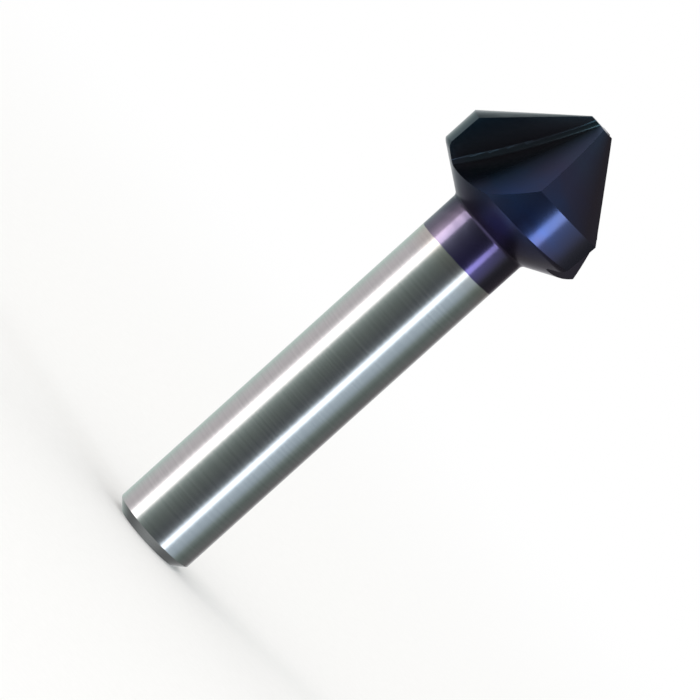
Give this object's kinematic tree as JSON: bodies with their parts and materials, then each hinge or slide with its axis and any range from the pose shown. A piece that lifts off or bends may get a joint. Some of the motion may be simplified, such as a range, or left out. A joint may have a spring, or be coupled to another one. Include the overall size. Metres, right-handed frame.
{
  "type": "countersink bit",
  "caption": "Conical countersink bit with ground flutes, a dark coated cutting head and a plain bright cylindrical shank for a chuck or collet.",
  "frame": {"origin": "centre of the flat end of the shank", "axes": "+Z along the bit's axis from the shank end to the cutting nose; +X and +Y across the shank, with the first cutting edge 207 degrees round from +X"},
  "size_m": [0.0195, 0.02, 0.063],
  "materials": {
    "high_speed_steel": "fine ground bright shank; the head and neck carry a thin, dark violet-blue wear coating"
  },
  "bodies": {
    "root": {"countersink_bit": "high_speed_steel"}
  },
  "joints": []
}
